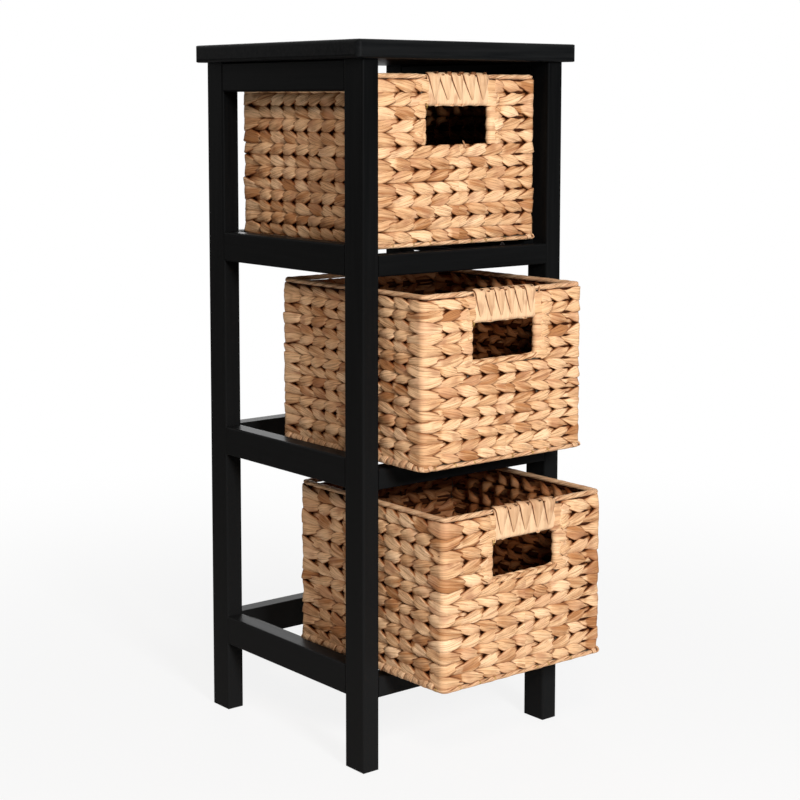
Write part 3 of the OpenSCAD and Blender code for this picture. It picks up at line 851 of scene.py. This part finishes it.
def hole_cord(tier, size, draw):
    """Thin twisted cord along the hand hole's lower edge, outside and inside."""
    half = size.hole_half + LEDGE_PAST
    x = np.linspace(-half, half, LEDGE_RINGS)
    lift, rise, rise_from, rise_over = LEDGE_LIFT
    climb = np.clip((x - size.hole_half + rise_from) / rise_over, 0, 1) ** 2
    place = np.stack([
        size.centre[0] + x,
        np.full_like(x, size.front + size.wall / 2 - LEDGE_OUT),
        size.grip[0][2] - HOLE_H - CORD_H / 2 + lift + rise * climb,
    ], axis=1)
    strands = []
    for inward, facing in zip(LEDGE_INSIDE, (1, -1)):
        strands += cord_strands(
            f"{tier}_hole_cord_{inward}", draw, place + (0, inward, 0), facing * FORWARD, x, False,
            turns=LEDGE_TURNS[tier], **LEDGE,
        )
    return strands


def bind_rim(tier, size, draw, material):
    track = wall_track(size)
    start = size.hole_half - RIM_TUCK
    s = track.stations(CORD_STATION, start, track.length - start)
    place, out = track.at(s)
    place = place + UP * (sum(size.rim) / 2)
    strands = cord_strands(f"{tier}_rim", draw, place, out, s, False, **RIM_CORD)
    piece = join(strands, tier, "rim_cord", material)
    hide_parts(f"{tier}_basket_rim")


def bind_base(tier, size, draw, material):
    track = wall_track(size)
    s = track.stations(CORD_STATION)
    place, out = track.at(s)
    place = place + UP * (size.floor + BASE_CORD_H / 2) + out * BASE_CORD_OUT
    strands = cord_strands(f"{tier}_bind", draw, place, out, s, True, **BASE_CORD)
    piece = join(strands, tier, "base_cord", material)
    press_clear(piece, size)
    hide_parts(f"{tier}_basket_base_binding")


def weave_base(tier, size, draw, material):
    """The same rows of twisted strands across the bottom, from side to side."""
    low, high = size.base
    height = (high[1] - low[1]) / BASE_ROWS
    half = (high[0] - low[0]) / 2 + BASE_PAST
    s = np.linspace(-half, half, BASE_STATIONS)
    full = np.ones_like(s)
    strands = []
    for row in range(BASE_ROWS):
        y = low[1] + (row + 0.5) * height
        place = np.stack([size.centre[0] + s, y * full, (low[2] + high[2]) / 2 * full], axis=1)
        strands += twisted_pair(
            f"{tier}_base{row}", draw, place, -UP, -FORWARD, (s + half) / BASE_LOBE, BASE_COUNT,
            1 if row % 2 else -1, height, full, full, False,
        )
    piece = join(strands, tier, "base_weave", material)
    press_clear(piece, size)
    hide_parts(f"{tier}_basket_base")


def wind_handle(tier, size, draw, material):
    """Flat strands wound side by side round the bar over the hand hole, and over them
    strands that are wide on the bar's top edge and come to a point at its lower edge."""
    low, high = size.grip
    middle = np.array([(a + b) / 2 for a, b in zip(low, high)])
    half_y, half_z = (high[1] - low[1]) / 2 - WIND_IN[0], (high[2] - low[2]) / 2 - WIND_IN[1]
    loop = Ring(2 * half_y, 2 * half_z, WIND_R, (0.0, 0.0))
    s = loop.stations(CORD_STATION)[:-1]
    flat, facing = loop.at(s)
    rise = flat[:, 1] / half_z
    front = np.where(flat[:, 0] < 0, 1, -1)
    out = np.stack([0 * s, facing[:, 0], facing[:, 1]], axis=1)
    strands = []

    def wind(name, x, lean, raised, half_w, half_t, tone, edge, painted_base_shade):
        path = np.stack([
            x - lean * rise * front,
            middle[1] + flat[:, 0] + facing[:, 0] * raised,
            middle[2] + flat[:, 1] + facing[:, 1] * raised,
        ], axis=1)
        # Painted shade: a base painted shade plus more towards the outside, with side edges darkened by
        # edge
        strands.append(sweep(
            f"{tier}_{name}", path, out, half_w, half_t, tone,
            lambda ring, outward: painted_base_shade[ring] + outward / 0.003, True, draw, flat=0.5, edge=edge,
        ))

    full = np.ones_like(s)
    pitch = (high[0] - low[0] - 2 * UNDER_SIDE) / UNDER_WINDS
    for turn in range(UNDER_WINDS):
        x = low[0] + UNDER_SIDE + (turn + 0.5) * pitch
        lean = draw.uniform(*UNDER_LEAN) * (0 < turn < UNDER_WINDS - 1)
        # The under strands' painted shade darkens towards the handle's top, in the slits between the
        # pointed strands
        wind(
            f"under{turn}", x, lean, 0.0, UNDER_W * pitch, UNDER_T, draw.gauss(*UNDER_TONE),
            0.1, 0.90 - 0.60 * np.clip(rise + 0.3, 0, 1),
        )
    over, lean = OVER_WINDS[tier]
    pitch = (high[0] - low[0] - 2 * OVER_SIDE) / over
    below, widen, power = OVER_WIDEN
    share = np.clip((rise + below) / widen, 0, 1) ** power
    raised = OVER_RAISE[0] + OVER_RAISE[1] * share ** 0.8 - OVER_RAISE[2] * np.exp(-share / 0.04)
    half_t = OVER_T[0] + OVER_T[1] * share
    for turn in range(over):
        inner = 1 if 0 < turn < over - 1 else 0.4
        x = low[0] + OVER_SIDE + (turn + 0.5) * pitch
        half_w = OVER_T[0] + (OVER_W * pitch - OVER_T[0]) * share ** draw.uniform(*OVER_BLUNT)
        wind(
            f"over{turn}", x, lean * inner * draw.uniform(0.8, 1.2), raised, half_w, half_t,
            draw.gauss(*OVER_TONE), 0.95, 0.9 * full,
        )
    piece = join(strands, tier, "grip", material)
    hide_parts(f"{tier}_basket_handle_wrap")


def loop_round(track, spot, height, reach, share, shift, tilt, forward=0.0):
    """Path and outward directions of a loop round a cord. share flattens it, shift and tilt
    move and slant it along the track, and forward moves it outwards."""
    place, out = track.at(np.array([spot]))
    turn = TAU * np.arange(LOOP_POINTS) / LOOP_POINTS
    ring = out * np.cos(turn)[:, None] + UP * np.sin(turn)[:, None]
    path = place + UP * height + out * forward + ring * reach * (1, 1, share)
    return path + np.cross(UP, out[0]) * (shift + tilt * np.sin(turn))[:, None], ring


def wrap_corners(tier, size, draw, material):
    """Short strands wrapped round the base cord: three at some corners, and on some baskets
    one beside the other along the whole left side."""
    track = wall_track(size)
    strands = []

    def wrap(name, kind, spot, height, reach, tilt, half_w):
        path, ring = loop_round(
            track, spot, size.floor + height, reach, WRAP_FLAT[kind], 0.0, tilt, WRAP_OUT,
        )
        # Painted shade: darker on the wrap's inner side and at its side edges
        strands.append(sweep(
            name, path, ring, half_w, WRAP_T[kind], draw.gauss(*WRAP_TONE),
            lambda ring_at, outward: 0.8 + outward / 0.004, True, draw, sides=10,
            edge=WRAP_EDGE_SHADE[kind],
        ))

    for knot in WRAPPED[tier]:
        for step in (-1, 0, 1):
            spot = track.corner(knot) + step * WRAP_STEP + draw.gauss(0, 0.0005)
            wrap(
                f"{tier}_corner{knot}_{step}", "corner", spot, WRAP_UP, draw.uniform(*WRAP_REACH),
                draw.uniform(*WRAP_TILT), draw.uniform(*WRAP_W),
            )
    if tier in LUMPS:
        pitch, height, reach = LUMPS[tier]
        first, last = track.knots[6], track.knots[7]
        for number in range(int((last - first) / pitch)):
            spot = first + (number + 0.5 + draw.uniform(*LUMP_SHIFT)) * pitch
            wrap(
                f"{tier}_lump{number}", "side", spot, height, reach * draw.uniform(*LUMP_REACH),
                draw.uniform(*LUMP_TILT), draw.uniform(*LUMP_W) * pitch,
            )
    piece = join(strands, tier, "corner_wraps", material)
    press_clear(piece, size)


def tie_corners(tier, size, draw, material):
    """Thin brass wire twisted round the cords at the lower corners, along the base and at
    the handle's left foot."""
    track = wall_track(size)
    middle = size.floor + BASE_CORD_H / 2
    ties = []
    spots = [(track.knots[knot] - TIE_BEFORE, middle, TIE_REACH["corner"]) for knot in CORNER_KNOTS]
    for start, stop in zip(track.knots[0:9:2], (*track.knots[1:9:2], track.length)):
        for number in range(int((stop - start) / STITCH)):
            spots.append((start + (number + draw.uniform(0.3, 0.7)) * STITCH, middle, TIE_REACH["side"]))
    foot = track.length - size.hole_half - TIE_FOOT[0]
    spots.append((foot, size.grip[0][2] + TIE_FOOT[1], TIE_REACH["handle"]))
    for number, (spot, height, reach) in enumerate(spots):
        for winding in range(2):
            tilt = draw.uniform(*TIE_TILT)
            path, ring = loop_round(track, spot, height, reach, TIE_FLAT, WIRE_STEP * winding, tilt)
            ties.append(sweep(
                f"{tier}_tie{number}_{winding}", path, ring, WIRE_T, WIRE_T, 0.5, 1.0, True, draw,
                sides=6, flat=1.0,
            ))
    piece = join(ties, tier, "ties", material)
    press_clear(piece, size)


def loose_fibres(tier, size, draw, material):
    """Short reddish fibres that stand out of the weave."""
    t = np.linspace(0, 1, 9)
    thin = pointed(t, 0.2, 0.05) ** 0.5
    strands = []
    for number, (x, z, length, tilt) in enumerate(STRAYS[tier]):
        path = np.stack([
            size.centre[0] + x + length * tilt * t,
            size.front + STRAY_IN - STRAY_BOW * np.sin(math.pi * t),
            size.floor + z + length * t,
        ], axis=1)
        # A slight painted shade of 0.6
        strands.append(sweep(
            f"{tier}_stray{number}", path, FORWARD, STRAY_W * thin, STRAY_T * thin, STRAY_TONE,
            0.6, False, draw, sides=8,
        ))
    join(strands, tier, "loose_fibres", material)


def fill_handle(tier, size, material):
    """Bundle of straight fibres inside the wound handle. It has no tone or depth attributes, so it takes
    the straw's deepest painted shade, near black.
    """
    low, high = size.grip
    bm = bmesh.new()
    bmesh.ops.create_cube(bm, size=1.0)
    vec = [b - a - less for a, b, less in zip(low, high, FILL_LESS)]
    bmesh.ops.scale(bm, vec=vec, verts=bm.verts)
    bmesh.ops.translate(bm, vec=[(a + b) / 2 for a, b in zip(low, high)], verts=bm.verts)
    bmesh.ops.bevel(
        bm, geom=bm.edges[:], offset=FILL_ROUND, affect="EDGES", segments=3, profile=0.5, material=-1,
    )
    name = f"{tier}_basket_handle_core"
    piece = add_object(name, mesh_from(bm, name))
    piece.data.materials.append(material)
    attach(piece, f"{tier}_basket")


def weave_baskets():
    plait_straw = straw("plait_straw", (0.94, 0.65, 0.405), (0.78, 0.49, 0.272), (0.44, 0.20, 0.08))
    cord_straw = straw("cord_straw", (0.84, 0.59, 0.38), (0.72, 0.46, 0.27), (0.46, 0.25, 0.13))
    wrap_straw = straw("wrap_straw", (0.82, 0.56, 0.345), (0.75, 0.50, 0.30), (0.58, 0.35, 0.195), 0.4)
    brass = steel("brass_wire", (0.42, 0.28, 0.09), 0.45)
    for seed, tier in enumerate(TIERS):
        draw = random.Random(SEED + seed)
        size = basket_sizes(tier)
        weave_walls(tier, size, draw, plait_straw)
        bind_rim(tier, size, draw, cord_straw)
        bind_base(tier, size, draw, cord_straw)
        weave_base(tier, size, draw, plait_straw)
        wind_handle(tier, size, draw, wrap_straw)
        wrap_corners(tier, size, draw, cord_straw)
        tie_corners(tier, size, draw, brass)
        loose_fibres(tier, size, draw, cord_straw)
        fill_handle(tier, size, wrap_straw)


# Frame


def dress_frame():
    """Paint, wood and metal for the CAD nodes that show as they are."""
    painted = {axis: paint(f"black_paint_{axis}", grain) for axis, grain in GRAIN.items()}
    looks = (
        ("_leg", painted["z"]),
        (("front_rail", "rear_rail"), painted["x"]),
        (("_rail", "_runner"), painted["y"]),
        # The board's lighter paint is a painted sheen.
        ("top_board", paint("black_paint_board_painted_sheen", GRAIN["x"], light=BOARD_PAINTED_SHEEN)),
        ("_dowels", speckled("dowel_wood", 400.0, 3.0, (0.42, 0.25, 0.12), (0.60, 0.41, 0.22), 0.7)),
        ("_screws", steel("screw_steel", (0.55, 0.55, 0.56), 0.35)),
        ("_wire", steel("wire_steel", (0.14, 0.11, 0.08), 0.6)),
    )
    for name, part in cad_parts.items():
        for ending, material in looks:
            if name.endswith(ending):
                part.data.materials.clear()
                part.data.materials.append(material)
                break


# Stage, lamps and camera


def make_floor():
    """White floor that takes the shadows and fades into the plain white backdrop."""
    bm = bmesh.new()
    bmesh.ops.create_grid(bm, x_segments=1, y_segments=1, size=12.0)
    floor = add_object("floor", mesh_from(bm, "floor"))
    mat, tree, shader = new_material("floor_white", **{"Base Color": FLOOR, "Roughness": 0.9})
    reach = tree.node("VectorMath", operation="LENGTH")
    tree.feed(tree.coords(), reach.inputs[0])
    fade = tree.map_range(reach.outputs["Value"], FLOOR_FADE, FLOOR_WHITE, "SMOOTHSTEP")
    share = tree.maths("MULTIPLY", tree.node("LightPath").outputs["Is Camera Ray"], fade)
    glow = tree.node("Emission", Strength=1.0)
    output = tree.nodes["Material Output"]
    tree.blend(share, shader.outputs["BSDF"], glow.outputs["Emission"], output)
    floor.data.materials.append(mat)


def make_world():
    """White to the camera and in reflections, and a faint warm light on everything else."""
    world = bpy.data.worlds.new("studio")
    bpy.context.scene.world = world
    world.use_nodes = True
    tree = Tree(world.node_tree)
    tree.nodes.clear()
    soft = tree.node("Background", Color=AMBIENT, Strength=AMBIENT_LIGHT)
    white = tree.node("Background", Color=(1, 1, 1, 1), Strength=1.0)
    path = tree.node("LightPath").outputs
    seen = tree.maths("MAXIMUM", path["Is Camera Ray"], path["Is Glossy Ray"])
    seen = tree.maths("MAXIMUM", seen, path["Is Transmission Ray"])
    output = tree.node("OutputWorld")
    tree.blend(seen, soft.outputs["Background"], white.outputs["Background"], output)


def area_lamp(name, place, size, power, colour):
    lamp = bpy.data.lights.new(name, "AREA")
    lamp.shape = "SQUARE"
    lamp.size = size
    lamp.energy = power
    lamp.color = colour
    made = add_object(name, lamp)
    made.location = place
    direction = np.array(LAMP_AIM) - np.array(place)
    made.rotation_mode = "QUATERNION"
    made.rotation_quaternion = Vector(direction).to_track_quat("-Z", "Y")


def make_camera():
    data = bpy.data.cameras.new("camera")
    data.sensor_width = 36.0
    data.lens = data.sensor_width * FOCAL_PX / FRAME_PX
    data.shift_x = (FRAME_PX / 2 - CENTRE_PX[0]) / FRAME_PX
    data.shift_y = (CENTRE_PX[1] - FRAME_PX / 2) / FRAME_PX
    data.clip_end = 50.0
    camera = add_object("camera", data)
    camera.location = CAMERA_AT
    camera.rotation_euler = (math.radians(90 + CAMERA_TILT), 0, math.radians(CAMERA_TURN))
    bpy.context.scene.camera = camera


dress_frame()
weave_baskets()
make_floor()
make_world()
for lamp_values in LAMPS:
    area_lamp(*lamp_values)
make_camera()
bpy.context.scene.view_settings.view_transform = "Standard"
